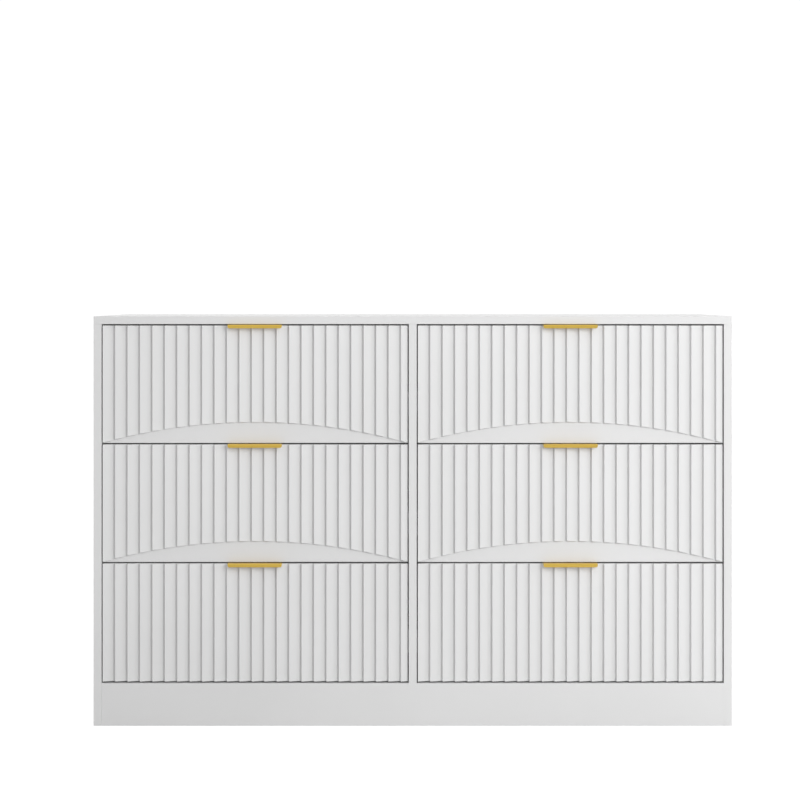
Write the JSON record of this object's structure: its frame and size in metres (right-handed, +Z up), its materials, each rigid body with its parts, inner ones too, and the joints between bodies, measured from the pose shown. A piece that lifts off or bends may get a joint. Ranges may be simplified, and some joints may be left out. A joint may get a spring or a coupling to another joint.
{
  "type": "dresser",
  "caption": "Low, wide dresser on a flush plinth, with inset fluted drawer fronts, shallow arches along the upper rows and thin gold edge pulls.",
  "frame": {"origin": "centre of the footprint, pulls included, on the floor", "axes": "+X along the width towards the right column seen from the front, +Y towards the back, +Z up; the fronts face -Y"},
  "size_m": [1.2, 0.409, 0.77],
  "materials": {
    "white_lacquer": "satin white lacquer on board",
    "drawer_board": "matt white melamine on board",
    "thin_board": "white-faced hardboard",
    "gold_pull": "brushed gold",
    "zinc_steel": "bright zinc plated",
    "cast_zinc": "plain cast zinc"
  },
  "bodies": {
    "carcass": {"top_panel": "white_lacquer", "left_side_panel": "white_lacquer", "right_side_panel": "white_lacquer", "centre_divider": "white_lacquer", "bottom_panel": "white_lacquer", "front_plinth": "white_lacquer", "rear_plinth": "white_lacquer", "left_back_panel": "thin_board", "right_back_panel": "thin_board", "cabinet_slide_members": "zinc_steel", "cam_locks": "cast_zinc", "wall_brackets": "zinc_steel"},
    "left_top_drawer": {"left_top_drawer_front": "white_lacquer", "left_top_drawer_pull": "gold_pull", "left_top_drawer_left_side": "drawer_board", "left_top_drawer_right_side": "drawer_board", "left_top_drawer_back": "drawer_board", "left_top_drawer_bottom": "thin_board", "left_top_drawer_slide_members": "zinc_steel"},
    "left_top_slide_middles": {"left_top_slide_middles": "zinc_steel"},
    "left_middle_drawer": {"left_middle_drawer_front": "white_lacquer", "left_middle_drawer_pull": "gold_pull", "left_middle_drawer_left_side": "drawer_board", "left_middle_drawer_right_side": "drawer_board", "left_middle_drawer_back": "drawer_board", "left_middle_drawer_bottom": "thin_board", "left_middle_drawer_slide_members": "zinc_steel"},
    "left_middle_slide_middles": {"left_middle_slide_middles": "zinc_steel"},
    "left_bottom_drawer": {"left_bottom_drawer_front": "white_lacquer", "left_bottom_drawer_pull": "gold_pull", "left_bottom_drawer_left_side": "drawer_board", "left_bottom_drawer_right_side": "drawer_board", "left_bottom_drawer_back": "drawer_board", "left_bottom_drawer_bottom": "thin_board", "left_bottom_drawer_slide_members": "zinc_steel"},
    "left_bottom_slide_middles": {"left_bottom_slide_middles": "zinc_steel"},
    "right_top_drawer": {"right_top_drawer_front": "white_lacquer", "right_top_drawer_pull": "gold_pull", "right_top_drawer_left_side": "drawer_board", "right_top_drawer_right_side": "drawer_board", "right_top_drawer_back": "drawer_board", "right_top_drawer_bottom": "thin_board", "right_top_drawer_slide_members": "zinc_steel"},
    "right_top_slide_middles": {"right_top_slide_middles": "zinc_steel"},
    "right_middle_drawer": {"right_middle_drawer_front": "white_lacquer", "right_middle_drawer_pull": "gold_pull", "right_middle_drawer_left_side": "drawer_board", "right_middle_drawer_right_side": "drawer_board", "right_middle_drawer_back": "drawer_board", "right_middle_drawer_bottom": "thin_board", "right_middle_drawer_slide_members": "zinc_steel"},
    "right_middle_slide_middles": {"right_middle_slide_middles": "zinc_steel"},
    "right_bottom_drawer": {"right_bottom_drawer_front": "white_lacquer", "right_bottom_drawer_pull": "gold_pull", "right_bottom_drawer_left_side": "drawer_board", "right_bottom_drawer_right_side": "drawer_board", "right_bottom_drawer_back": "drawer_board", "right_bottom_drawer_bottom": "thin_board", "right_bottom_drawer_slide_members": "zinc_steel"},
    "right_bottom_slide_middles": {"right_bottom_slide_middles": "zinc_steel"}
  },
  "joints": [
    {"name": "left_top_drawer_slide", "type": "slide", "parent": "carcass", "child": "left_top_drawer", "axis": [0, -1, 0], "range_m": [0, 0.34]},
    {"name": "left_top_slide_middles_travel", "type": "slide", "parent": "carcass", "child": "left_top_slide_middles", "axis": [0, -1, 0], "range_m": [0, 0.17]},
    {"name": "left_middle_drawer_slide", "type": "slide", "parent": "carcass", "child": "left_middle_drawer", "axis": [0, -1, 0], "range_m": [0, 0.34]},
    {"name": "left_middle_slide_middles_travel", "type": "slide", "parent": "carcass", "child": "left_middle_slide_middles", "axis": [0, -1, 0], "range_m": [0, 0.17]},
    {"name": "left_bottom_drawer_slide", "type": "slide", "parent": "carcass", "child": "left_bottom_drawer", "axis": [0, -1, 0], "range_m": [0, 0.34]},
    {"name": "left_bottom_slide_middles_travel", "type": "slide", "parent": "carcass", "child": "left_bottom_slide_middles", "axis": [0, -1, 0], "range_m": [0, 0.17]},
    {"name": "right_top_drawer_slide", "type": "slide", "parent": "carcass", "child": "right_top_drawer", "axis": [0, -1, 0], "range_m": [0, 0.34]},
    {"name": "right_top_slide_middles_travel", "type": "slide", "parent": "carcass", "child": "right_top_slide_middles", "axis": [0, -1, 0], "range_m": [0, 0.17]},
    {"name": "right_middle_drawer_slide", "type": "slide", "parent": "carcass", "child": "right_middle_drawer", "axis": [0, -1, 0], "range_m": [0, 0.34]},
    {"name": "right_middle_slide_middles_travel", "type": "slide", "parent": "carcass", "child": "right_middle_slide_middles", "axis": [0, -1, 0], "range_m": [0, 0.17]},
    {"name": "right_bottom_drawer_slide", "type": "slide", "parent": "carcass", "child": "right_bottom_drawer", "axis": [0, -1, 0], "range_m": [0, 0.34]},
    {"name": "right_bottom_slide_middles_travel", "type": "slide", "parent": "carcass", "child": "right_bottom_slide_middles", "axis": [0, -1, 0], "range_m": [0, 0.17]}
  ],
  "couplings": [
    {"joint": "left_top_slide_middles_travel", "follows": "left_top_drawer_slide", "ratio": 0.5},
    {"joint": "left_middle_slide_middles_travel", "follows": "left_middle_drawer_slide", "ratio": 0.5},
    {"joint": "left_bottom_slide_middles_travel", "follows": "left_bottom_drawer_slide", "ratio": 0.5},
    {"joint": "right_top_slide_middles_travel", "follows": "right_top_drawer_slide", "ratio": 0.5},
    {"joint": "right_middle_slide_middles_travel", "follows": "right_middle_drawer_slide", "ratio": 0.5},
    {"joint": "right_bottom_slide_middles_travel", "follows": "right_bottom_drawer_slide", "ratio": 0.5}
  ]
}
